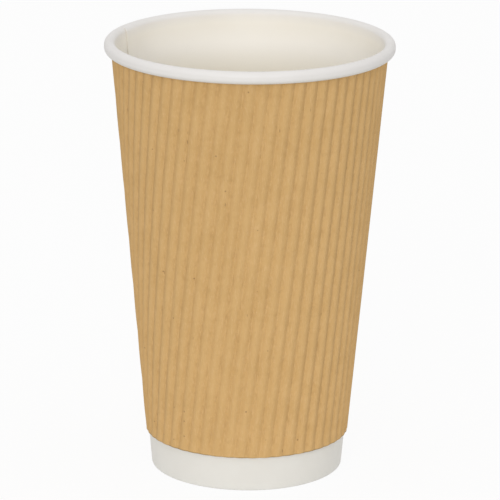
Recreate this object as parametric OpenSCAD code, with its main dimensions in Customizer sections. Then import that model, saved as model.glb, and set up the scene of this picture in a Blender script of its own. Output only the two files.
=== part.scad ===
// A paper coffee cup: a white coated cup with a rolled rim and a folded foot,
// and a fluted kraft sleeve glued round it.
// Up is +Z, the cup stands on z = 0, its axis is x = y = 0 and its front is -Y.
// Directions around the cup are degrees from +X, counter-clockwise seen from above.

/* [Cup] */
// Height of the cup over its rolled rim
cup_h = 136.6; // [115:0.1:150]
// Outer diameter of the rolled rim, which the lid snaps over
rim_d = 90; // [84:0.1:96]
// Outer diameter of the foot, where the wall meets the table
foot_d = 59.9; // [54:0.1:66]
// Thickness of the coated board of the wall
board_t = 0.4; // [0.3:0.01:0.48]

/* [Rolled rim] */
// Width of the rolled rim, from its outer edge to the inside of the wall
rim_w = 3.25; // [2.9:0.05:4]
// Height of the straight outer side of the rolled rim
rim_side = 0.65; // [0:0.05:1.5]
// Turns that the board makes in the roll
rim_turns = 1.45; // [1.1:0.05:1.5]
// Space between two turns of the roll
roll_gap = 0.05; // [0.02:0.01:0.15]

/* [Seam of the wall] */
// Width over which the two ends of the wall lie on each other
seam_w = 5; // [3:0.5:8]
// Length over which the inner end comes out to the round of the wall
seam_run = 9; // [7:0.5:14]
// Direction of the seam's inner cut edge
seam_dir = 159; // [0:1:359]

/* [Bottom] */
// Height of the upper face of the bottom disc over the table
floor_z = 8; // [6.5:0.1:12]
// Thickness of the coated paper of the bottom disc
disc_t = 0.3; // [0.2:0.01:0.4]
// Bend radius of the bottom disc, at the middle of its paper
disc_bend = 0.6; // [0.3:0.05:1]
// Distance of the hem's cut edge below the bottom disc
hem_drop = 1.7; // [1.2:0.1:4]
// Bend radius of the foot's folds, at the middle of the board
foot_bend = 0.25; // [0.24:0.01:0.35]
// Space that the seal leaves between two sheets
seal_gap = 0.05; // [0.03:0.01:0.1]

/* [Ripple sleeve] */
// Height of the sleeve's lower cut edge over the table
sleeve_low = 11.3; // [9:0.1:40]
// Distance of the sleeve's upper cut edge below the rolled rim
sleeve_drop = 0.15; // [0.05:0.05:20]
// Thickness of the kraft paper
kraft_t = 0.25; // [0.15:0.01:0.3]
// Thickness of the fluted sheet from the wall to the crests
flute_h = 0.92; // [0.75:0.01:1.4]
// Distance from one flute to the next, across the flutes
flute_pitch = 3.9; // [3.6:0.1:8]
// Distance of a crest from the middle line of the blank
flute_shift = -0.45; // [-2:0.05:2]
// Direction of the middle line of the blank, where the flutes stand upright
blank_dir = -15; // [-180:1:180]
// Width over which the two ends of the sleeve lie on each other
lap_w = 8; // [4:0.5:12]
// Flat margin of each end beyond the lap
lap_margin = 1; // [0.5:0.1:3]
// Space that the glue leaves between two sheets
glue_gap = 0.05; // [0.03:0.01:0.1]

/* [Hidden] */
$fn = 144;

bend_steps = 4;
roll_step = 12;
press_to = 120;
run_share = 0.8;
run_turn = 90;
seam_bite = 0.5;
flute_rows = 6;
tip_gap = 0.2;
lap_step = 4;
white_board = [0.93, 0.92, 0.9];
white_paper = [0.9, 0.88, 0.83];
kraft = [0.79, 0.64, 0.43];

// One flute across: place within the pitch, and height between valley (0) and crest (1)
flute_shape = [[0, 1], [0.22, 0.7], [0.42, 0], [0.58, 0], [0.78, 0.7]];

// The wall's outer face is a cone: its radius at z = 0, its slope and its half angle
foot_r = foot_d / 2;
rim_r = rim_d / 2;
slope = (rim_r - rim_w + board_t - foot_r) / cup_h;
lean = atan(slope);
function wall_r(z) = foot_r + slope * z;
mid_r = wall_r(cup_h / 2);

// Points of an arc in the section
function arc(centre, radius, from, to, steps) = [
    for (i = [0 : steps])
        let (a = from + (to - from) * i / steps)
            centre + radius * [cos(a), sin(a)]
];

// A point at height z on the wall's outer face, moved inward by depth
function wall_point(z, depth) =
    let (x = wall_r(z) - depth / cos(lean))
        [x, z];

// The foot: the board turns in under the skirt and up again, flat on the table
bend_in = foot_bend - board_t / 2;
bend_out = foot_bend + board_t / 2;
hem_space = disc_t + 2 * seal_gap;
hem_h = floor_z - disc_t - hem_drop;
hem_depth = board_t + hem_space;
foot_outer = wall_point(bend_out, bend_out);
foot_inner = foot_outer - [(hem_space - 2 * bend_in) / cos(lean), 0];

// The rim: a spiral roll that starts where the wall's line touches it.
// roll_r is its radius there, at the middle of the board, and turns lie roll_pitch apart.
roll_pitch = board_t + roll_gap;
roll_from = 180 - lean;
roll_to = roll_from - 360 * rim_turns;
roll_reach = rim_r - board_t / 2 + roll_pitch * roll_from / 360 - foot_r;
roll_rise = cup_h - board_t / 2 + roll_pitch * (roll_from - 90) / 360;
roll_r = (cos(lean) * (roll_reach - slope * roll_rise) + board_t / 2) / (1 + cos(lean) - sin(lean));
function roll_radius(a) = roll_r - roll_pitch * (roll_from - a) / 360;
roll_x = rim_r - board_t / 2 - roll_radius(0);
roll_top = cup_h - board_t / 2 - roll_radius(90);
roll_low = roll_top - rim_side - roll_radius(-90) - board_t / 2;

// Angles of the roll, with both ends of each straight side, where sin(a) changes sign
function roll_arc(from, to) =
    let (steps = ceil((from - to) / roll_step))
        [for (i = [0 : steps]) from + (to - from) * i / steps];
roll_turns = [
    for (a = roll_arc(roll_from, 0)) [a, 0],
    for (a = roll_arc(0, -180)) [a, rim_side],
    for (a = roll_arc(-180, max(roll_to, -360))) [a, 0],
];
function roll_point(turn, offset) =
    [roll_x, roll_top - turn[1]] + (roll_radius(turn[0]) + offset) * [cos(turn[0]), sin(turn[0])];
function reversed(points) = [for (i = [len(points) - 1 : -1 : 0]) points[i]];

// The seam: angles of the lap and of the run, and the shift of the run's axis that
// brings the inner end in by most of the board's thickness. A small crease makes up the rest.
seam_a = seam_w / mid_r * 180 / PI;
run_a = seam_run / mid_r * 180 / PI;
lap_dir = seam_dir - seam_a;
run_in = run_share * board_t;
run_shift = run_in * mid_r / (mid_r * (1 - cos(run_a)) + run_in);
seam_low = floor_z + seal_gap;

// The board from the end of the hem, round the foot's two folds, up and into the roll
module wall_section() {
    polygon(concat(
        [for (turn = roll_turns) roll_point(turn, board_t / 2)],
        reversed([for (turn = roll_turns) roll_point(turn, -board_t / 2)]),
        arc(foot_outer, bend_out, -lean, -90, bend_steps),
        arc(foot_inner, bend_out, -90, -180 - lean, bend_steps),
        [wall_point(hem_h, hem_depth + board_t), wall_point(hem_h, hem_depth)],
        arc(foot_inner, bend_in, -180 - lean, -90, bend_steps),
        arc(foot_outer, bend_in, -90, -lean, bend_steps)
    ));
}

// The inner end of the board in the seam: it lies inside the wall from the disc up, and
// is pressed flush on its way to the top of the roll. Its outer side lies at depth.
pressed = roll_arc(roll_from, press_to);
function roll_line(depth) = [for (a = pressed) roll_point([a, 0], depth - board_t / 2)];
module seam_section(depth) {
    polygon(concat(
        [wall_point(seam_low, depth)],
        roll_line(depth),
        reversed([
            for (a = pressed)
                roll_point([a, 0], board_t * (1 / 2 + (a - press_to) / (roll_from - press_to)))
        ]),
        [wall_point(seam_low, 2 * board_t)]
    ));
}

// Everything inside the middle of the board, from just over the end of the seam up
module inside_section() {
    low = seam_low + seal_gap;
    polygon(concat(
        [[0, low], wall_point(low, board_t / 2)],
        roll_line(board_t / 2),
        [[0, cup_h]]
    ));
}

// White cup wall: one blank with a lapped seam, a folded foot and a rolled rim
module cup_wall() {
    color(white_board)
        union() {
            rotate_extrude()
                wall_section();
            rotate([0, 0, lap_dir])
                rotate_extrude(angle = seam_a)
                    seam_section(board_t / 2);
            intersection() {
                rotate([0, 0, lap_dir - run_a])
                    translate([run_shift, 0, 0])
                        rotate_extrude(angle = run_turn)
                            translate([board_t - run_shift, 0])
                                seam_section(-board_t);
                rotate([0, 0, lap_dir - run_a])
                    rotate_extrude(angle = run_a + seam_bite)
                        inside_section();
            }
        }
}

// Bottom disc: its skirt is turned down between the wall and the hem
skirt_depth = board_t + seal_gap;
skirt_low = foot_bend + board_t / 2 + seal_gap;
disc_inner = disc_bend - disc_t / 2;
disc_outer = disc_bend + disc_t / 2;
disc_corner = wall_point(floor_z - disc_outer, skirt_depth + disc_outer);
module cup_bottom() {
    color(white_paper)
        rotate_extrude()
            polygon(concat(
                [[0, floor_z]],
                arc(disc_corner, disc_outer, 90, -lean, bend_steps),
                [wall_point(skirt_low, skirt_depth), wall_point(skirt_low, skirt_depth + disc_t)],
                arc(disc_corner, disc_inner, -lean, 90, bend_steps),
                [[0, floor_z - disc_t]]
            ));
}

// The sleeve's blank, laid flat: a fan of slant radii fan_low to fan_top about the apex
// of the cone of its crests. u runs across the flutes from the middle line, v along them.
crest_r = foot_r + flute_h / cos(lean);
sleeve_top = roll_low - sleeve_drop;
fan_low = (crest_r + slope * sleeve_low) / sin(lean);
fan_top = (crest_r + slope * sleeve_top) / sin(lean);
apex_z = -crest_r / slope;
turn_a = 360 * sin(lean);
function fan_angle(width) = width / fan_low * 180 / PI;
fan_lap = fan_angle(lap_w / 2);
fan_flat = turn_a / 2 - fan_lap - fan_angle(lap_margin);

// Flutes are straight on the cone only at the middle line: the chords of the others
// stay this far off the wall. Those nearest to the ends turn most.
flat_u = fan_low * sin(fan_flat);
row_turn = (fan_flat - asin(flat_u / fan_top)) / sin(lean) / flute_rows;
step_turn = flute_pitch / len(flute_shape) / crest_r * 180 / PI;
chord_gap = crest_r * (1 - cos((row_turn + step_turn) / 2));
valley_depth = flute_h - kraft_t - glue_gap - chord_gap;

// A point of the blank on the cup: depth is measured inward from the crests' cone
function on_cup(slant, angle, depth) =
    let (
        a = blank_dir + angle / sin(lean),
        r = slant * sin(lean) - depth * cos(lean),
        z = apex_z + slant * cos(lean) + depth * sin(lean)
    )
        [r * cos(a), r * sin(a), z];

// Columns of points along the flutes, each [u, height between valley and crest]
last_u = fan_top * sin(fan_flat) - tip_gap;
flutes = ceil(last_u / flute_pitch) + 1;
columns = [
    for (n = [-flutes : flutes])
        for (p = flute_shape)
            let (u = flute_shift + (n + p[0]) * flute_pitch)
                if (abs(u) < last_u) [u, p[1]]
];
left_cut = len([for (c = columns) if (c[0] <= -flat_u) 1]);
right_cut = len([for (c = columns) if (c[0] >= flat_u) 1]);
last = len(columns) - 1;

// Depth of the flat ends: the left end lies on the wall, the right end over the left one
under_depth = valley_depth;
over_depth = valley_depth - kraft_t - glue_gap;
function end_depth(side) = side < 0 ? under_depth : over_depth;

function is_cut(column) = abs(column[0]) >= flat_u;
function first_v(u) = abs(u) >= flat_u ? abs(u) / tan(fan_flat) : sqrt(fan_low * fan_low - u * u);
function flute_points(column, extra) = [
    for (j = [0 : flute_rows])
        let (
            u = column[0],
            v = first_v(u) + (sqrt(fan_top * fan_top - u * u) - first_v(u)) * j / flute_rows,
            at_end = j == 0 && is_cut(column),
            depth = at_end ? end_depth(sign(u)) : valley_depth * (1 - column[1])
        )
            on_cup(norm([u, v]), atan2(u, v), depth + extra)
];

// Slant radii up the line where the flutes of one end stop: corner, flutes, corner
left_slants = [
    fan_low,
    for (i = [left_cut - 1 : -1 : 0]) -columns[i][0] / sin(fan_flat),
    fan_top
];
right_slants = [
    fan_low,
    for (i = [last - right_cut + 1 : last]) columns[i][0] / sin(fan_flat),
    fan_top
];

// Flat strips of an end: angles from the flutes' end to the cut edge
lap_steps = 2 * ceil(lap_w / 2 / lap_step);
strip_angles = [
    for (s = [0 : lap_steps]) turn_a / 2 - fan_lap + 2 * fan_lap * s / lap_steps
];
strips = len(strip_angles);
function strip_points(side, slants, extra) = [
    for (a = strip_angles)
        for (slant = slants)
            on_cup(slant, side * a, end_depth(side) + extra)
];
function corner_points(side, extra) = [
    for (slant = [fan_low, fan_top])
        on_cup(slant, side * fan_flat, end_depth(side) + extra)
];

// One face of the sheet: flutes, four corners, left strips, right strips
function sheet_points(extra) = concat(
    [for (c = columns) each flute_points(c, extra)],
    corner_points(-1, extra),
    corner_points(1, extra),
    strip_points(-1, left_slants, extra),
    strip_points(1, right_slants, extra)
);

// Numbers of the points
rows = flute_rows + 1;
corner_base = len(columns) * rows;
left_base = corner_base + 4;
right_base = left_base + strips * len(left_slants);
face_points = right_base + strips * len(right_slants);
function flute_id(i, j) = i * rows + j;
left_ids = [
    corner_base,
    for (i = [left_cut - 1 : -1 : 0]) flute_id(i, 0),
    corner_base + 1
];
right_ids = [
    corner_base + 2,
    for (i = [last - right_cut + 1 : last]) flute_id(i, 0),
    corner_base + 3
];
function strip_id(side, s, k) =
    s == 0 ? (side < 0 ? left_ids[k] : right_ids[k])
    : side < 0 ? left_base + (s - 1) * len(left_slants) + k
    : right_base + (s - 1) * len(right_slants) + k;

// Two triangles from four corners, clockwise seen from outside
function quad(a, b, c, d) = [[a, b, c], [a, c, d]];
function flipped(faces) = [for (f = faces) [f[2], f[1], f[0]]];

flute_faces = [
    for (i = [0 : last - 1])
        for (j = [0 : flute_rows - 1])
            each quad(flute_id(i, j), flute_id(i, j + 1), flute_id(i + 1, j + 1), flute_id(i + 1, j))
];
left_first = flute_id(left_cut, 0);
right_first = flute_id(last - right_cut, 0);
corner_faces = concat(
    [[left_ids[0], left_ids[1], left_first]],
    [[right_first, right_ids[1], right_ids[0]]],
    [for (j = [0 : flute_rows - 1]) [corner_base + 1, flute_id(0, j + 1), flute_id(0, j)]],
    [for (j = [0 : flute_rows - 1]) [flute_id(last, j), flute_id(last, j + 1), corner_base + 3]]
);
function strip_faces(side, count) = [
    for (s = [0 : strips - 1])
        for (k = [0 : count - 2])
            each quad(
                strip_id(side, s, k),
                strip_id(side, s, k + 1),
                strip_id(side, s + 1, k + 1),
                strip_id(side, s + 1, k)
            )
];
sheet_faces = concat(
    flute_faces,
    corner_faces,
    flipped(strip_faces(-1, len(left_slants))),
    strip_faces(1, len(right_slants))
);

// The cut edge all round the blank: lower edge, right end, upper edge, left end
left_top = len(left_slants) - 1;
right_top = len(right_slants) - 1;
cut_edge = concat(
    [for (s = [strips : -1 : 0]) strip_id(-1, s, 0)],
    [for (i = [left_cut : last - right_cut]) flute_id(i, 0)],
    [for (s = [0 : strips]) strip_id(1, s, 0)],
    [for (k = [1 : right_top]) strip_id(1, strips, k)],
    [for (s = [strips - 1 : -1 : 0]) strip_id(1, s, right_top)],
    [for (i = [last : -1 : 0]) flute_id(i, flute_rows)],
    [for (s = [0 : strips]) strip_id(-1, s, left_top)],
    [for (k = [left_top - 1 : -1 : 1]) strip_id(-1, strips, k)]
);
function next_edge(e) = cut_edge[(e + 1) % len(cut_edge)];
edge_faces = [
    for (e = [0 : len(cut_edge) - 1])
        each quad(
            cut_edge[e],
            next_edge(e),
            next_edge(e) + face_points,
            cut_edge[e] + face_points
        )
];

// Kraft sleeve: one fluted blank, its flutes parallel in the flat, lapped at the back
module ripple_sleeve() {
    color(kraft)
        polyhedron(
            points = concat(sheet_points(0), sheet_points(kraft_t)),
            faces = concat(
                sheet_faces,
                [for (f = flipped(sheet_faces)) [for (id = f) id + face_points]],
                edge_faces
            )
        );
}

cup_wall();
cup_bottom();
ripple_sleeve();
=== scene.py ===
"""A paper coffee cup in a ripple sleeve, with the finish of its three pieces.

The white wall with its rolled rim, lapped seam and folded foot, the bottom disc and the
fluted kraft sleeve are built here as fine meshes, each in the place of its solid in the
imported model. Lengths are in metres and angles in radians. The cup's axis is x = y = 0,
it stands on z = 0 and its front is towards -Y.
"""

import math

import bpy
import numpy as np
from mathutils import Matrix, Vector, noise


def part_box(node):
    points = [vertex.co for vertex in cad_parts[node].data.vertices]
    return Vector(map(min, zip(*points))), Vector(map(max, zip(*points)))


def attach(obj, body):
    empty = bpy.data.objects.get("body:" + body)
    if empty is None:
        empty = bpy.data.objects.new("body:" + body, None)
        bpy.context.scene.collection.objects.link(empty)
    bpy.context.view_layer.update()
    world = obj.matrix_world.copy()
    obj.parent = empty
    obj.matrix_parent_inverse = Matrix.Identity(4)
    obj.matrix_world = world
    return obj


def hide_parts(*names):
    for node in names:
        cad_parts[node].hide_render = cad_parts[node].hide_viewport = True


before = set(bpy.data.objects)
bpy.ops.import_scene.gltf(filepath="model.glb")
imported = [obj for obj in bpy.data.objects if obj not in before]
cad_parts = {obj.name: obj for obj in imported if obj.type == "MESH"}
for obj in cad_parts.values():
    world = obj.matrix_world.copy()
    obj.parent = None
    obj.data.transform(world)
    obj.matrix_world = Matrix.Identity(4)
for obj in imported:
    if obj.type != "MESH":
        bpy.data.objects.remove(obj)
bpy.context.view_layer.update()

MM = 0.001
DEG = math.pi / 180

# Cup: the height and the rim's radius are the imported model's
cup_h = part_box("cup_wall")[1].z
rim_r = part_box("cup_wall")[1].x
foot_r = 29.95 * MM
board_t = 0.4 * MM

# Rolled rim
rim_w = 3.25 * MM
rim_side = 0.65 * MM
rim_turns = 1.45
roll_gap = 0.05 * MM

# Seam of the wall: the lap from its inner cut edge, and the run on which the end comes out
seam_w = 5 * MM
seam_run = 9 * MM
seam_dir = 159 * DEG

# Bottom disc and foot
floor_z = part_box("cup_bottom")[1].z
disc_t = 0.3 * MM
disc_bend = 0.6 * MM
hem_drop = 1.7 * MM
foot_bend = 0.25 * MM
seal_gap = 0.05 * MM

# Ripple sleeve. Its flutes stand 0.2 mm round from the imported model's, where the
# photograph's valleys lie.
sleeve_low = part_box("ripple_sleeve")[0].z
sleeve_drop = 0.15 * MM
kraft_t = 0.25 * MM
flute_h = 0.92 * MM
flute_pitch = 3.9 * MM
flute_shift = -0.65 * MM
blank_dir = -15 * DEG
lap_w = 8 * MM
lap_margin = 1 * MM
glue_gap = 0.05 * MM

# The wall's outer face is a cone
slope = (rim_r - rim_w + board_t - foot_r) / cup_h
lean = math.atan(slope)
mid_r = foot_r + slope * cup_h / 2

# The roll is a spiral that starts where the wall's line touches it
roll_pitch = board_t + roll_gap
roll_from = math.pi - lean
roll_to = roll_from - 2 * math.pi * rim_turns
roll_reach = rim_r - board_t / 2 + roll_pitch * roll_from / (2 * math.pi) - foot_r
roll_rise = cup_h - board_t / 2 + roll_pitch * (roll_from - math.pi / 2) / (2 * math.pi)
roll_r = (math.cos(lean) * (roll_reach - slope * roll_rise) + board_t / 2) / (
    1 + math.cos(lean) - math.sin(lean)
)


def roll_radius(a):
    """Radius of the roll at angle a, at the middle of the board."""
    return roll_r - roll_pitch * (roll_from - a) / (2 * math.pi)


roll_x = rim_r - board_t / 2 - roll_radius(0)
roll_top = cup_h - board_t / 2 - roll_radius(math.pi / 2)
roll_low = roll_top - rim_side - roll_radius(-math.pi / 2) - board_t / 2


def smooth_step(x):
    """0 below 0, 1 above 1, and a smooth rise between."""
    x = np.clip(x, 0, 1)
    return x * x * (3 - 2 * x)


def field(a, b, seed):
    """Smooth noise, between about -1 and 1, at every pair of a and b."""
    pairs = zip(np.ravel(a), np.ravel(b))
    values = [noise.noise(Vector((x, y, seed))) for x, y in pairs]
    return np.reshape(values, np.shape(a))


def grid_faces(ids):
    """Four-sided faces between the neighbours in a two-way table of point numbers."""
    corners = (ids[:-1, :-1], ids[1:, :-1], ids[1:, 1:], ids[:-1, 1:])
    return np.stack(corners, axis=-1).reshape(-1, 4)


# Edges that bend by more than this stay sharp
sharp_angle = 50 * DEG


def make_piece(name, points, faces, node):
    """A smooth shaded mesh that rides on the cup and stands for one node of the model."""
    mesh = bpy.data.meshes.new(name)
    mesh.from_pydata(np.reshape(points, (-1, 3)).tolist(), [], [list(f) for f in faces])
    mesh.validate()
    mesh.set_sharp_from_angle(angle=sharp_angle)
    piece = bpy.data.objects.new(name, mesh)
    bpy.context.collection.objects.link(piece)
    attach(piece, "root")
    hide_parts(node)
    return piece


def add_values(piece, name, values):
    """Stores one number per point for the material to read."""
    layer = piece.data.attributes.new(name, "FLOAT", "POINT")
    layer.data.foreach_set("value", np.ravel(values).astype(np.float32))


# Camera: its focal length in pixels of the photograph's frame, and where it stood

frame_px = 500
focal_px = 3747
camera_distance = 1.17179
camera_elevation = 0.2812
camera_roll = 0.0086
camera_target = Vector((0.00057, 0, 0.06906))
sensor_mm = 36


def make_camera():
    """The camera of the photograph, fitted to the cup's outline in its frame."""
    sin_e, cos_e = math.sin(camera_elevation), math.cos(camera_elevation)
    back = Vector((0, -cos_e, sin_e))
    right = Vector((1, 0, 0))
    up = Vector((0, sin_e, cos_e))
    tilted_right = math.cos(camera_roll) * right + math.sin(camera_roll) * up
    tilted_up = math.cos(camera_roll) * up - math.sin(camera_roll) * right
    data = bpy.data.cameras.new("camera")
    data.sensor_width = sensor_mm
    data.lens = sensor_mm * focal_px / frame_px
    camera = bpy.data.objects.new("camera", data)
    turn = Matrix((tilted_right, tilted_up, back)).transposed().to_4x4()
    camera.matrix_world = Matrix.Translation(camera_target + camera_distance * back) @ turn
    bpy.context.collection.objects.link(camera)
    bpy.context.scene.camera = camera


# Materials: colours are linear, and a pair is two colours that clouds or grain mix

# One board's whites drawn as lit and shaded copies: the outer wall greyest and the roll, the
# same face as the inside, greyer, as painted shade; the inside whiter and creamier as painted
# light
outer_shaded_whites = (0.743, 0.728, 0.682, 1), (0.729, 0.712, 0.664, 1)
roll_shaded_whites = (0.787, 0.764, 0.743, 1), (0.772, 0.749, 0.725, 1)
mouth_lit_whites = (0.909, 0.870, 0.795, 1), (0.898, 0.856, 0.777, 1)
# The inside's painted light band under the rim, and its painted shade deep down
upper_lit_white = (0.938, 0.905, 0.847, 1)
deep_shade_white = (0.868, 0.816, 0.698, 1)
seam_tint = (0.62, 0.57, 0.49, 1)
cut_whites = (0.69, 0.65, 0.585, 1), (0.76, 0.72, 0.65, 1)
disc_whites = (0.85, 0.82, 0.755, 1), (0.83, 0.80, 0.73, 1)
kraft_browns = (0.632, 0.404, 0.170, 1), (0.582, 0.365, 0.146, 1)
mottle_brown = (0.493, 0.297, 0.115, 1)
fibre_brown = (0.710, 0.474, 0.240, 1)
# Painted shade in the flutes' valleys, and broken streaks of painted shade along them
valley_shade_brown = (0.534, 0.314, 0.109, 1)
streak_shade_brown = (0.38, 0.215, 0.08, 1)
# Painted shadow: a broken dark line along the sleeve's lower edge
edge_shadow_brown = (0.254, 0.167, 0.068, 1)
speck_brown = (0.199, 0.100, 0.041, 1)
hair_brown = (0.256, 0.142, 0.064, 1)

# Depths under the rim between which the inside turns whiter as a painted light band, and then
# darker and creamier as painted shade
lit_band_from, lit_band_to = 5 * MM, 10 * MM
deep_shade_from, deep_shade_to = 12 * MM, 24 * MM

# Depth of the board's grain, of the flutes' rounding and of the kraft's fibres, the power
# that makes crests wider than valleys, and the strengths of the seam's line and the specks
board_relief = 0.012 * MM
flank_relief = 0.22 * MM
fibre_relief = 0.02 * MM
crest_power = 0.63
seam_shade = 0.16
speck_share = 0.55
hair_share = 0.5


def add_node(tree, kind, inputs=None, **settings):
    """A node with its settings, its input values and the links that lead into it."""
    made = tree.nodes.new(kind)
    for name, value in settings.items():
        setattr(made, name, value)
    for name, value in (inputs or {}).items():
        if isinstance(value, bpy.types.NodeSocket):
            tree.links.new(value, made.inputs[name])
        else:
            made.inputs[name].default_value = value
    return made


def new_material(name):
    """An empty material with its surface shader; returns the material, tree and shader."""
    material = bpy.data.materials.new(name)
    material.use_nodes = True
    tree = material.node_tree
    tree.nodes.clear()
    shader = add_node(tree, "ShaderNodeBsdfPrincipled")
    output = add_node(tree, "ShaderNodeOutputMaterial")
    tree.links.new(shader.outputs["BSDF"], output.inputs["Surface"])
    return material, tree, shader


def object_place(tree, stretch):
    """Places on the object, each axis times its stretch."""
    place = add_node(tree, "ShaderNodeTexCoord").outputs["Object"]
    return add_node(
        tree, "ShaderNodeMapping", {"Vector": place, "Scale": stretch}
    ).outputs["Vector"]


def noise_value(tree, place, size, detail=3, rough=0.5):
    """Noise from 0 to 1 whose blobs measure about size."""
    inputs = {"Vector": place, "Scale": 1 / size, "Detail": detail, "Roughness": rough}
    return add_node(tree, "ShaderNodeTexNoise", inputs).outputs["Fac"]


def mapped(tree, value, low, high, to_low, to_high):
    """value moved from the range low to high into to_low to to_high, and held there."""
    inputs = {
        "Value": value,
        "From Min": low,
        "From Max": high,
        "To Min": to_low,
        "To Max": to_high,
    }
    return add_node(tree, "ShaderNodeMapRange", inputs, clamp=True).outputs["Result"]


def product(tree, a, b):
    """a times b."""
    made = add_node(tree, "ShaderNodeMath", operation="MULTIPLY")
    for socket, value in zip(made.inputs, (a, b)):
        if isinstance(value, bpy.types.NodeSocket):
            tree.links.new(value, socket)
        else:
            socket.default_value = value
    return made.outputs["Value"]


def mixed(tree, share, a, b):
    """Colour a, with share of colour b over it."""
    made = add_node(tree, "ShaderNodeMix", data_type="RGBA")
    for name, value in (("Factor", share), ("A", a), ("B", b)):
        kind = "VALUE" if name == "Factor" else "RGBA"
        socket = next(s for s in made.inputs if s.name == name and s.type == kind)
        if isinstance(value, bpy.types.NodeSocket):
            tree.links.new(value, socket)
        else:
            socket.default_value = value
    return next(s for s in made.outputs if s.type == "RGBA")


def stored(tree, name):
    """The numbers that add_values stored under name."""
    return add_node(tree, "ShaderNodeAttribute", attribute_name=name).outputs["Fac"]


def bumped(tree, shader, height, depth):
    """Gives the shader a relief of the given depth."""
    inputs = {"Height": height, "Distance": depth, "Strength": 1.0}
    relief = add_node(tree, "ShaderNodeBump", inputs)
    tree.links.new(relief.outputs["Normal"], shader.inputs["Normal"])


def board_material():
    """White paper board as lit and shaded copies of one white: greyest outside and greyer on
    the roll as painted shade, whiter and creamier inside the cup as painted light, with a
    painted light band under the rim and painted shade that makes the inside darker and
    creamier deep down."""
    material, tree, shader = new_material("coated_board")
    place = object_place(tree, (1, 1, 1))
    cloud = noise_value(tree, place, 9 * MM, detail=4)
    grain = noise_value(tree, place, 0.25 * MM, detail=2)
    share = mapped(tree, cloud, 0.35, 0.65, 0, 1)
    outer = mixed(tree, share, *outer_shaded_whites)
    roll = mixed(tree, share, *roll_shaded_whites)
    inside = mixed(tree, share, *mouth_lit_whites)
    height = add_node(tree, "ShaderNodeSeparateXYZ", {"Vector": place}).outputs["Z"]
    # A painted light band under the rim, then painted shade deep down
    upper = mapped(tree, height, cup_h - lit_band_from, cup_h - lit_band_to, 0, 1)
    inside = mixed(tree, upper, inside, upper_lit_white)
    deep = mapped(tree, height, cup_h - deep_shade_from, cup_h - deep_shade_to, 0, 1)
    inside = mixed(tree, deep, inside, deep_shade_white)
    side = stored(tree, "drink_side")
    colour = mixed(tree, mapped(tree, side, 0, 0.5, 0, 1), outer, roll)
    colour = mixed(tree, mapped(tree, side, 0.5, 1, 0, 1), colour, inside)
    line = product(tree, stored(tree, "seam"), seam_shade)
    colour = mixed(tree, line, colour, seam_tint)
    tree.links.new(colour, shader.inputs["Base Color"])
    rough = mapped(tree, cloud, 0.3, 0.7, 0.42, 0.5)
    tree.links.new(rough, shader.inputs["Roughness"])
    shader.inputs["Specular IOR Level"].default_value = 0.35
    bumped(tree, shader, grain, board_relief)
    return material


def raw_edge_material():
    """The uncoated cut edge of the board."""
    material, tree, shader = new_material("board_cut_edge")
    grain = noise_value(tree, object_place(tree, (1, 1, 0.2)), 0.3 * MM, detail=2)
    colour = mixed(tree, grain, *cut_whites)
    tree.links.new(colour, shader.inputs["Base Color"])
    shader.inputs["Roughness"].default_value = 0.85
    return material


def bottom_material():
    """White coated paper of the bottom disc."""
    material, tree, shader = new_material("bottom_paper")
    place = object_place(tree, (1, 1, 1))
    cloud = noise_value(tree, place, 6 * MM, detail=4)
    grain = noise_value(tree, place, 0.25 * MM, detail=2)
    share = mapped(tree, cloud, 0.35, 0.65, 0, 1)
    colour = mixed(tree, share, *disc_whites)
    tree.links.new(colour, shader.inputs["Base Color"])
    shader.inputs["Roughness"].default_value = 0.45
    shader.inputs["Specular IOR Level"].default_value = 0.35
    bumped(tree, shader, grain, board_relief)
    return material


def kraft_material():
    """Brown kraft paper: cloudy, with fibres and dark specks, and with painted shade in its
    valleys.
    """
    material, tree, shader = new_material("kraft_paper")
    place = object_place(tree, (1, 1, 1))
    along = object_place(tree, (1, 1, 0.16))
    cloud = noise_value(tree, place, 7 * MM, detail=5, rough=0.6)
    fibre = noise_value(tree, along, 0.3 * MM, detail=3, rough=0.6)
    wave = flute_wave(tree)
    colour = paper_colour(tree, place, cloud, fibre)
    colour = valley_shade(tree, colour, cloud, wave)
    colour = edge_shadow_dashes(tree, colour, place)
    colour = specks_and_hairs(tree, colour)
    tree.links.new(colour, shader.inputs["Base Color"])
    shader.inputs["Roughness"].default_value = 0.85
    shader.inputs["Specular IOR Level"].default_value = 0.2
    bumped(tree, shader, kraft_relief(tree, wave, fibre), fibre_relief)
    return material


def paper_colour(tree, place, cloud, fibre):
    """The kraft's brown, with clouds, darker mottles and paler fibres."""
    colour = mixed(tree, mapped(tree, cloud, 0.3, 0.7, 0, 1), *kraft_browns)
    mottle = noise_value(tree, place, 1.6 * MM, detail=3, rough=0.6)
    colour = mixed(tree, mapped(tree, mottle, 0.55, 0.75, 0, 0.35), colour, mottle_brown)
    return mixed(tree, mapped(tree, fibre, 0.5, 0.75, 0, 0.6), colour, fibre_brown)


def valley_shade(tree, colour, cloud, wave):
    """The colour, with painted shade in the valleys and broken streaks of painted shade along
    them.
    """
    fluted = stored(tree, "fluted")
    broken = mapped(tree, cloud, 0.35, 0.6, 0.5, 1)
    valley = product(tree, mapped(tree, wave, 0.7, 0.3, 0, 0.1), broken)
    colour = mixed(tree, product(tree, valley, fluted), colour, valley_shade_brown)
    streak = noise_value(tree, object_place(tree, (1, 1, 0.3)), 0.8 * MM, detail=2)
    streak_shade = product(tree, mapped(tree, wave, 0.6, 0.2, 0, 0.28), fluted)
    streak_shade = product(tree, streak_shade, mapped(tree, streak, 0.5, 0.68, 0, 1))
    return mixed(tree, streak_shade, colour, streak_shade_brown)


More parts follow.
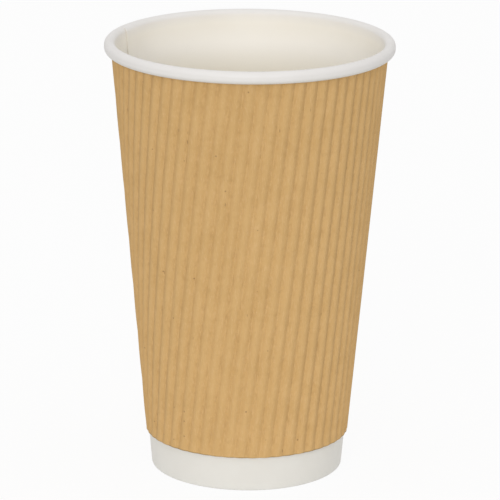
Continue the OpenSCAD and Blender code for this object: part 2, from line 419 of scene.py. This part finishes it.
def edge_shadow_dashes(tree, colour, place):
    """The colour, with a broken dark line of painted shadow along the sleeve's lower edge."""
    dashes = mapped(tree, noise_value(tree, place, 5 * MM, detail=2), 0.4, 0.55, 0.3, 1)
    dashes = product(tree, dashes, stored(tree, "edge_shadow"))
    return mixed(tree, dashes, colour, edge_shadow_brown)


def specks_and_hairs(tree, colour):
    """The colour, with round dark specks and short dark hairs that run up the cup."""
    specks = dark_specks(tree, 3.2 * MM, 1.0, 0.11)
    colour = mixed(tree, product(tree, specks, speck_share), colour, speck_brown)
    hairs = dark_specks(tree, 2.3 * MM, 0.3, 0.1)
    return mixed(tree, product(tree, hairs, hair_share), colour, hair_brown)


def kraft_relief(tree, wave, fibre):
    """Height of the flutes' rounding, uneven along them, and of the fibres on it, in
    depths of the fibres."""
    uneven = noise_value(tree, object_place(tree, (1, 1, 0.25)), 3 * MM, detail=1)
    depth = mapped(tree, uneven, 0.3, 0.7, 0.6, 1.4)
    depth = product(tree, depth, flank_relief / fibre_relief)
    relief = add_node(tree, "ShaderNodeMath", {0: wave, 1: depth, 2: fibre},
                      operation="MULTIPLY_ADD")
    return relief.outputs["Value"]


def flute_wave(tree):
    """1 on the crests of the flutes and 0 in their valleys, fading where they fade."""
    turns = product(tree, stored(tree, "flute"), 2 * math.pi)
    wave = add_node(tree, "ShaderNodeMath", {0: turns}, operation="COSINE").outputs["Value"]
    wave = mapped(tree, wave, -1, 1, 0, 1)
    wave = add_node(tree, "ShaderNodeMath", {0: wave, 1: crest_power}, operation="POWER")
    return product(tree, wave.outputs["Value"], stored(tree, "fluted"))


def dark_specks(tree, spacing, stretch, radius):
    """1 in a few small spots, one cell in five, drawn out along the cup as stretch falls."""
    place = object_place(tree, (1, 1, stretch))
    inputs = {"Vector": place, "Scale": 1 / spacing}
    cells = add_node(tree, "ShaderNodeTexVoronoi", inputs)
    near = mapped(tree, cells.outputs["Distance"], radius * 0.6, radius, 1, 0)
    chance = add_node(tree, "ShaderNodeSeparateColor", {"Color": cells.outputs["Color"]})
    chosen = mapped(tree, chance.outputs["Red"], 0.80, 0.82, 0, 1)
    return product(tree, near, chosen)


# Cup wall

hem_h = floor_z - disc_t - hem_drop
hem_depth = board_t + disc_t + 2 * seal_gap
bend_in = foot_bend - board_t / 2
bend_out = foot_bend + board_t / 2
seam_low = floor_z + seal_gap
cup_columns = 416

# Rows of the section: up the wall inside and outside, over the foot, and round the roll
# where it shows and where it doesn't. The row under the seam lies seam_end below it.
inside_rows = 15
outside_rows = 12
outside_low = 12 * MM
inner_foot_rows = 3 * MM, 6 * MM
outer_foot_rows = 8 * MM, 5 * MM, 2 * MM
inner_bend_steps = 4
outer_bend_steps = 5
seam_end = 0.01 * MM
roll_step = 6 * DEG
hidden_step = 15 * DEG

# Knurls pressed into the hem: their rows are shares of a span above knurl_low, and their
# depth starts and ends within knurl_ramp of the first and the last
knurls = 104
knurl_depth = 0.06 * MM
knurl_low = 0.9 * MM
knurl_span = hem_h - 1.3 * MM
knurl_rows = 0.0, 0.12, 0.24, 0.5, 0.76, 0.88
knurl_ramp = 0.12

# Angles of the roll: where the seam is pressed flat, and where its two colours start to
# change and over how much; the second is painted shade that turns the roll's underside grey by
# a share
press_to = 120 * DEG
inside_from, inside_over = 150 * DEG, 50 * DEG
under_shade_from, under_shade_over = 20 * DEG, 60 * DEG
under_shade_share = 0.4

# Seam: angle between the two columns at a cut edge, width of the fine dark lines and how
# many widths they reach, distance and strength of the press mark beside the inner cut
# edge, and the share of the run's step that shows outside
edge_columns = 0.02 * DEG
line_w = 0.25 * MM
line_reach = 1.5
press_mark_w = 3.3 * MM
press_mark_share = 0.4
outer_run_share = 0.9

# The wall is round up to this height, and lies a little inside its cone above it
round_to = 0.55 * cup_h
least_shrink = 0.02 * MM
uneven_shrink = 0.12 * MM


def wall_point(z, depth):
    """A point of the section at height z, depth inside the wall's outer face."""
    return np.array([foot_r + slope * z - depth / math.cos(lean), z])


def arc(centre, radius, first, last, steps):
    """Points of an arc in the section."""
    angles = np.linspace(first, last, steps + 1)
    return [centre + radius * np.array([math.cos(a), math.sin(a)]) for a in angles]


def roll_angles(step, last_step):
    """Angles round the roll, each with the drop of its centre by the straight side."""
    outer = np.arange(math.pi, -math.pi, -step)
    hidden = np.arange(-math.pi, roll_to, -last_step)
    turns = [(roll_from, 0.0)]
    turns += [(a, 0.0) for a in outer if 0 < a < roll_from]
    turns += [(0.0, 0.0), (0.0, rim_side)]
    turns += [(a, rim_side) for a in outer if a < 0]
    turns += [(-math.pi, rim_side)]
    turns += [(a, 0.0) for a in hidden]
    return turns


def roll_press(a):
    """Share of the seam's step that is left at angle a of the roll."""
    return float(np.clip((a - press_to) / (roll_from - press_to), 0, 1))


def roll_side(a):
    """Colour of the roll at angle a: 1 is the inside's, 0.5 the roll's, 0 the outside's, with
    painted shade that leans the underside towards the outside's grey.
    """
    side = 0.5 + 0.5 * float(smooth_step((a - inside_from) / inside_over))
    return side - under_shade_share * float(smooth_step((under_shade_from - a) / under_shade_over))


def wall_rows():
    """The board's section as a closed ring of rows, from the hem along the drink side into
    the roll and back along the outer side. Each row is r, z, the way in which the seam moves
    it, and the shares of the lap's step, the run's step and the knurl, then its side."""
    foot_outer = wall_point(bend_out, bend_out)
    foot_inner = foot_outer - [(disc_t + 2 * seal_gap - 2 * bend_in) / math.cos(lean), 0]
    inward, outward = (-1, 0), (1, 0)
    rows = []

    def add(point, way, lap=0.0, run=0.0, knurl=0.0, side=0.0):
        rows.append((*point, *way, lap, run, knurl, side))

    add(wall_point(hem_h, hem_depth), inward)
    for p in arc(foot_inner, bend_in, -math.pi - lean, -math.pi / 2, inner_bend_steps):
        add(p, inward)
    for p in arc(foot_outer, bend_in, -math.pi / 2, -lean, inner_bend_steps):
        add(p, inward)
    for z in (*inner_foot_rows, seam_low - seam_end):
        add(wall_point(z, board_t), inward)
    for z in np.linspace(seam_low, roll_low, inside_rows):
        add(wall_point(z, board_t), inward, lap=1, side=1)
    for a, drop in roll_angles(roll_step, hidden_step):
        p = np.array([roll_x, roll_top - drop])
        way = (math.cos(a), math.sin(a))
        face = p + (roll_radius(a) + board_t / 2) * np.array(way)
        add(face, way, lap=roll_press(a), side=roll_side(a))
    for a, drop in reversed(roll_angles(hidden_step, hidden_step)):
        p = np.array([roll_x, roll_top - drop])
        way = (math.cos(a), math.sin(a))
        face = p + (roll_radius(a) - board_t / 2) * np.array(way)
        add(face, way, run=roll_press(a))
    for z in (*np.linspace(roll_low, outside_low, outside_rows), *outer_foot_rows):
        add(wall_point(z, 0), inward, run=1)
    for p in arc(foot_outer, bend_out, -lean, -math.pi / 2, outer_bend_steps):
        add(p, inward, run=float(np.clip(p[1] / bend_out, 0, 1)))
    for p in arc(foot_inner, bend_out, -math.pi / 2, -math.pi - lean, outer_bend_steps):
        add(p, inward)
    for share in knurl_rows:
        z = knurl_low + share * knurl_span
        raised = float(smooth_step(min(share, knurl_rows[-1] - share) / knurl_ramp))
        add(wall_point(z, hem_depth + board_t), outward, knurl=raised)
    add(wall_point(hem_h, hem_depth + board_t), outward)
    return np.array(rows).T


def seam_columns():
    """Angles round the cup past the seam's outer cut edge, clockwise seen from above, with
    two close together at each edge; how far the seam moves the drink side and the outer
    side there; and the share of the fine dark lines along the seam."""
    lap_a = seam_w / mid_r
    run_a = seam_run / mid_r
    turn = 2 * math.pi
    plain = np.arange(cup_columns) * turn / cup_columns
    inner_edge = turn - lap_a
    space = turn / cup_columns / 3
    plain = plain[(plain > space) & (abs(plain - inner_edge) > space)]
    plain = plain[plain < turn - space]
    press_mark = inner_edge - press_mark_w / mid_r
    lines = [inner_edge, press_mark]
    close = [line + k * line_w / mid_r for line in lines for k in (-2, -1, 1, 2)]
    past = np.sort(np.concatenate((plain, close, lines, (
        0, turn - edge_columns, inner_edge - edge_columns))))
    run = board_t * np.clip(1 - past / run_a, 0, 1) ** 2
    lap = np.where(past >= inner_edge, board_t, run)
    dark = np.zeros_like(past)
    for line, share in zip(lines, (1, press_mark_share)):
        dark = dark + share * np.clip(line_reach - abs(past - line) * mid_r / line_w, 0, 1)
    return past, lap, outer_run_share * run, dark


def shrink(azimuth, z):
    """How far the wall lies inside its cone: 0 low down, and uneven round the cup above."""
    uneven = 0.5 + 0.25 * np.cos(2 * azimuth + 0.7) + 0.15 * np.cos(3 * azimuth - 1.1)
    uneven = uneven + 0.1 * np.cos(5 * azimuth + 2.3)
    rise = smooth_step((z - round_to) / (cup_h - round_to))
    return (least_shrink + uneven_shrink * uneven) * rise


def cup_wall():
    """The white wall: one sheet swept round the axis, with its lapped seam."""
    r, z, way_r, way_z, lap_share, run_share, knurl, side = wall_rows()
    past, lap, run, dark = seam_columns()
    azimuth = (seam_dir - seam_w / mid_r - past)[:, None]
    knurl_wave = (0.5 + 0.5 * np.cos(knurls * azimuth)) ** 2
    move = lap[:, None] * lap_share + run[:, None] * run_share
    move = move + knurl_depth * knurl_wave * knurl
    radius = r + move * way_r - shrink(azimuth, z)
    height = z + move * way_z
    points = np.stack(
        (radius * np.cos(azimuth), radius * np.sin(azimuth), height), axis=-1
    )
    columns, rows = radius.shape
    ids = np.arange(columns * rows).reshape(columns, rows)
    ring = np.vstack((ids, ids[:1]))
    ring = np.hstack((ring, ring[:, :1]))
    faces = grid_faces(ring)[:, ::-1]
    piece = make_piece("wall", points, faces, "cup_wall")
    add_values(piece, "drink_side", np.broadcast_to(side, (columns, rows)))
    add_values(piece, "seam", dark[:, None] * (lap_share > 0))
    piece.data.materials.append(board_material())
    piece.data.materials.append(raw_edge_material())
    narrow = np.diff(np.append(past, 2 * math.pi + past[0])) < 2 * edge_columns
    cut_faces = np.repeat(narrow, rows).astype(np.int32)
    piece.data.polygons.foreach_set("material_index", cut_faces)
    return piece


# Bottom disc

disc_columns = 180
disc_rings = np.array((0.02, 0.15, 0.3, 0.45, 0.6, 0.72, 0.82, 0.9, 0.96))
outer_skirt_steps = 8
inner_skirt_steps = 6
skirt_rows = 5 * MM, 3 * MM
dish_depth = 0.12 * MM


def cup_bottom():
    """The bottom disc, a little dished, with its skirt turned down inside the wall."""
    skirt_depth = board_t + seal_gap
    skirt_low = foot_bend + board_t / 2 + seal_gap
    inner, outer = disc_bend - disc_t / 2, disc_bend + disc_t / 2
    corner = wall_point(floor_z - outer, skirt_depth + outer)
    flat_r = corner[0]
    radii = flat_r * disc_rings
    dish = dish_depth * (1 - smooth_step(radii / flat_r))
    upper = [np.array(p) for p in zip(radii, floor_z - dish)]
    lower = [p - (0, disc_t) for p in upper]
    skirt = (*skirt_rows, skirt_low)
    section = upper + arc(corner, outer, math.pi / 2, -lean, outer_skirt_steps)
    section += [wall_point(z, skirt_depth) for z in skirt]
    section += [wall_point(z, skirt_depth + disc_t) for z in reversed(skirt)]
    section += arc(corner, inner, -lean, math.pi / 2, inner_skirt_steps) + lower[::-1]
    r, z = np.array(section).T
    azimuth = np.linspace(0, 2 * math.pi, disc_columns, endpoint=False)[:, None]
    points = np.stack(
        (r * np.cos(azimuth), r * np.sin(azimuth), np.broadcast_to(z, (disc_columns, len(z)))),
        axis=-1,
    )
    ids = np.arange(points.shape[0] * points.shape[1]).reshape(points.shape[:2])
    faces = list(grid_faces(np.vstack((ids, ids[:1]))))
    faces.append(ids[:, 0])
    faces.append(ids[::-1, -1])
    piece = make_piece("bottom_disc", points, faces, "cup_bottom")
    piece.data.materials.append(bottom_material())
    return piece


# Ripple sleeve

crest_r = foot_r + flute_h / math.cos(lean)
sleeve_top = roll_low - sleeve_drop
fan_low = (crest_r + slope * sleeve_low) / math.sin(lean)
fan_top = (crest_r + slope * sleeve_top) / math.sin(lean)
apex_z = -crest_r / slope
half_turn = math.pi * math.sin(lean)
fan_lap = lap_w / 2 / fan_low
fan_flat = half_turn - fan_lap - lap_margin / fan_low
flat_u = fan_low * math.sin(fan_flat)
valley_room = 0.02 * MM
valley_depth = flute_h - kraft_t - glue_gap - valley_room

# Points across a flute, rows along it, steps across the lap, and the spare at the tips
flute_points = 12
flute_rows = 44
lap_steps = 6
tip_gap = 0.1 * MM

# The flutes fade out towards the flat ends and are pressed down by a share towards the
# lower edge, which has a fine line of painted shadow
fade_w = 6 * MM
edge_w = 3 * MM
edge_press = 0.7
shadow_line_w = 0.4 * MM
shadow_dash_w = 0.8 * shadow_line_w

# They differ in height and wander, in patches of these widths across and along them
height_spread = 0.08
height_patch = 5 * MM, 15 * MM
height_seed = 1.5
drift_reach = 0.09 * MM
drift_patch = 4 * MM, 17 * MM
drift_seed = 7.5


def on_cup(slant, angle, depth):
    """A point of the flat blank, wrapped on the cone of the crests, depth inside it."""
    azimuth = blank_dir + angle / math.sin(lean)
    r = slant * math.sin(lean) - depth * math.cos(lean)
    z = apex_z + slant * math.cos(lean) + depth * math.sin(lean)
    return np.stack((r * np.cos(azimuth), r * np.sin(azimuth), z), axis=-1)


def end_depth(side):
    """Depth of a flat end: the left end lies on the wall, the right end over the left."""
    return np.where(side < 0, valley_depth, valley_depth - kraft_t - glue_gap)


def blank_columns():
    """Places of the columns across the flat blank, and each one's place in its flute."""
    last_u = fan_top * math.sin(fan_flat) - tip_gap
    flutes = math.ceil(last_u / flute_pitch) + 1
    count = np.arange(-flutes * flute_points, flutes * flute_points)
    u = flute_shift + count * flute_pitch / flute_points
    kept = abs(u) < last_u
    return u[kept], (count[kept] / flute_points) % 1


def fluted_field(u, phase):
    """Slant radius, angle, depth, count of flutes and their share of the full height on the
    fluted part, column by column."""
    first_v = np.where(
        abs(u) >= flat_u,
        abs(u) / math.tan(fan_flat),
        np.sqrt(np.maximum(fan_low**2 - u**2, 0)),
    )
    top_v = np.sqrt(fan_top**2 - u**2)
    first_step = shadow_line_w / (fan_top - fan_low)
    share = np.concatenate(((0, first_step), np.linspace(0, 1, flute_rows)[1:]))
    v = first_v[:, None] + (top_v - first_v)[:, None] * share
    across = np.broadcast_to(u[:, None], v.shape)
    slant = np.hypot(across, v)
    angle = np.arctan2(across, v)
    fade = smooth_step(slant * np.sin(fan_flat - abs(angle)) / fade_w)
    wave = (0.5 + 0.5 * np.cos(2 * math.pi * phase[:, None])) ** crest_power
    lower = 0.5 + 0.5 * field(across / height_patch[0], v / height_patch[1], height_seed)
    height = 1 - height_spread * lower
    valley = 1 - wave * height
    side = np.sign(angle)
    pressed = 1 - edge_press * (1 - smooth_step((slant - fan_low) / edge_w))
    depth = end_depth(side) + (valley_depth * valley * pressed - end_depth(side)) * fade
    drift = drift_reach * field(across / drift_patch[0], v / drift_patch[1], drift_seed)
    count = (across - flute_shift) / flute_pitch
    return slant, angle + drift * fade / slant, depth, count, fade * height


def flat_ends(slant, flutes, left_cut, right_cut):
    """The flat ends of the blank: slant radii, angles and depths of the four corners and of
    the strips, and each end's point numbers in rows from the flutes to its cut edge."""
    corners = flutes.size + np.arange(4)
    sides = np.array((-1, -1, 1, 1))
    parts = [(np.array((fan_low, fan_top) * 2), sides * fan_flat, end_depth(sides))]
    first_rows = (
        np.concatenate((corners[:1], flutes[:left_cut, 0][::-1], corners[1:2])),
        np.concatenate((corners[2:3], flutes[len(flutes) - right_cut:, 0], corners[3:])),
    )
    strip_angles = half_turn + fan_lap * np.linspace(-1, 1, lap_steps + 1)
    ends = []
    first_id = flutes.size + len(corners)
    for side, first_row in zip((-1, 1), first_rows):
        slants = np.concatenate(((fan_low,), slant.ravel()[first_row[1:-1]], (fan_top,)))
        strip_slant, strip_angle = np.meshgrid(slants, side * strip_angles)
        parts.append((strip_slant, strip_angle, end_depth(0 * strip_slant + side)))
        ids = first_id + np.arange(strip_slant.size).reshape(strip_slant.shape)
        ends.append(np.vstack((first_row, ids)))
        first_id += strip_slant.size
    return parts, ends


def sheet_faces(flutes, left, right, left_cut, right_cut):
    """Faces of one side of the sheet: the flutes, the flat ends, and the triangles that
    join them at the four corners."""
    tables = grid_faces(flutes), grid_faces(left)[:, ::-1], grid_faces(right)
    faces = [f for table in tables for f in table[:, ::-1]]
    last_low = flutes[len(flutes) - right_cut - 1, 0]
    faces.append((left[0, 0], left[0, 1], flutes[left_cut, 0]))
    faces.append((last_low, right[0, 1], right[0, 0]))
    faces += [(left[0, -1], b, a) for a, b in zip(flutes[0, :-1], flutes[0, 1:])]
    faces += [(a, b, right[0, -1]) for a, b in zip(flutes[-1, :-1], flutes[-1, 1:])]
    return faces


def cut_edge(flutes, left, right, left_cut, right_cut):
    """The blank's whole edge: lower edge, right end, upper edge and left end."""
    return np.concatenate((
        left[::-1, 0],
        flutes[left_cut:len(flutes) - right_cut, 0],
        right[:, 0],
        right[-1, 1:],
        right[-2::-1, -1],
        flutes[::-1, -1],
        left[:, -1],
        left[-1, -2:0:-1],
    ))


def ripple_sleeve():
    """The kraft sleeve: a fluted fan-shaped blank wrapped on the cup, with its flat ends
    lapped opposite to its middle."""
    u, phase = blank_columns()
    slant, angle, depth, flute, fluted = fluted_field(u, phase)
    cuts = int(np.sum(u <= -flat_u)), int(np.sum(u >= flat_u))
    flutes = np.arange(slant.size).reshape(slant.shape)
    parts, (left, right) = flat_ends(slant, flutes, *cuts)
    parts = [(slant, angle, depth), *parts]
    sheet = [np.concatenate([np.ravel(p[i]) for p in parts]) for i in range(3)]
    outer = on_cup(sheet[0], sheet[1], sheet[2])
    inner = on_cup(sheet[0], sheet[1], sheet[2] + kraft_t)
    points = np.vstack((outer, inner))
    count = len(outer)
    outer_faces = sheet_faces(flutes, left, right, *cuts)
    edge = cut_edge(flutes, left, right, *cuts)
    after = np.roll(edge, -1)
    edge_faces = np.stack((edge, after, after + count, edge + count), axis=-1)
    faces = [tuple(f[::-1]) for f in outer_faces]
    faces += [tuple(np.add(f, count)) for f in outer_faces]
    faces += [tuple(f[::-1]) for f in edge_faces]
    piece = make_piece("sleeve", points, faces, "ripple_sleeve")
    flat = np.zeros(count - flutes.size)
    # Painted shadow along the lower edge
    edge_shadow = np.clip(1 - (slant - fan_low) / shadow_dash_w, 0, 1)
    add_values(piece, "edge_shadow", np.concatenate((edge_shadow.ravel(), flat, np.zeros(count))))
    add_values(piece, "flute", np.tile(np.concatenate((flute.ravel(), flat)), 2))
    add_values(piece, "fluted", np.tile(np.concatenate((fluted.ravel(), flat)), 2))
    piece.data.materials.append(kraft_material())
    return piece


# Light and floor

world_level = 0.81

# The floor lights the cup by floor_near up to bright_r from the axis and by floor_far from
# dim_r on, and the camera sees it at floor_white with a share of glow
floor_half = 4
floor_near = 0.84
floor_far = 0.4
bright_r = 0.15
dim_r = 0.5
floor_white = 0.9
floor_glow = 0.9

# Name, place, size and power of each lamp
lamps = (
    ("key", (0.088, -2.532, 0.655), 0.45, 12.8),
    ("left", (-0.655, -2.283, 1.128), 0.9, 9.7),
)


def ray_share(tree):
    """1 for rays from the camera, mirrors and glass, and 0 for light on the object."""
    path = add_node(tree, "ShaderNodeLightPath")
    seen = add_node(tree, "ShaderNodeMath", operation="MAXIMUM")
    tree.links.new(path.outputs["Is Camera Ray"], seen.inputs[0])
    tree.links.new(path.outputs["Is Glossy Ray"], seen.inputs[1])
    both = add_node(tree, "ShaderNodeMath", operation="MAXIMUM")
    tree.links.new(seen.outputs["Value"], both.inputs[0])
    tree.links.new(path.outputs["Is Transmission Ray"], both.inputs[1])
    return both.outputs["Value"]


def make_world():
    """An even pale surround, white where the camera sees it."""
    world = bpy.data.worlds.new("studio")
    world.use_nodes = True
    tree = world.node_tree
    tree.nodes.clear()
    strength = mapped(tree, ray_share(tree), 0, 1, world_level, 1)
    surround = add_node(
        tree, "ShaderNodeBackground", {"Color": (1, 1, 1, 1), "Strength": strength}
    )
    output = add_node(tree, "ShaderNodeOutputWorld")
    tree.links.new(surround.outputs["Background"], output.inputs["Surface"])
    bpy.context.scene.world = world


def make_floor():
    """A plain pale floor that glows to white for the camera and keeps a faint shadow. Its
    light on the cup comes mostly from the bright middle under the cup."""
    mesh = bpy.data.meshes.new("floor")
    signs = (-1, -1), (1, -1), (1, 1), (-1, 1)
    corners = [(x * floor_half, y * floor_half, 0) for x, y in signs]
    mesh.from_pydata(corners, [], [(0, 1, 2, 3)])
    floor = bpy.data.objects.new("floor", mesh)
    bpy.context.collection.objects.link(floor)
    material = bpy.data.materials.new("pale_floor")
    material.use_nodes = True
    tree = material.node_tree
    tree.nodes.clear()
    seen = ray_share(tree)
    place = object_place(tree, (1, 1, 1))
    away = add_node(tree, "ShaderNodeVectorMath", {"Vector": place}, operation="LENGTH")
    lit = mapped(tree, away.outputs["Value"], bright_r, dim_r, floor_near, floor_far)
    level = mapped(tree, seen, 0, 1, lit, floor_white)
    matte = add_node(tree, "ShaderNodeBsdfDiffuse", {"Color": level})
    glow = add_node(tree, "ShaderNodeEmission", {"Color": (1, 1, 1, 1), "Strength": 1})
    share = product(tree, seen, floor_glow)
    blend = add_node(tree, "ShaderNodeMixShader", {"Fac": share})
    tree.links.new(matte.outputs["BSDF"], blend.inputs[1])
    tree.links.new(glow.outputs["Emission"], blend.inputs[2])
    output = add_node(tree, "ShaderNodeOutputMaterial")
    tree.links.new(blend.outputs["Shader"], output.inputs["Surface"])
    mesh.materials.append(material)


def make_lamps():
    """Large soft lamps, each aimed at the middle of the cup."""
    middle = Vector((0, 0, cup_h / 2))
    for name, place, size, power in lamps:
        data = bpy.data.lights.new(name, "AREA")
        data.shape = "SQUARE"
        data.size = size
        data.energy = power
        lamp = bpy.data.objects.new(name, data)
        lamp.location = place
        aim = Vector(place) - middle
        lamp.rotation_euler = aim.to_track_quat("Z", "Y").to_euler()
        bpy.context.collection.objects.link(lamp)


make_camera()
cup_wall()
cup_bottom()
ripple_sleeve()
make_floor()
make_lamps()
make_world()
bpy.context.scene.view_settings.view_transform = "Standard"
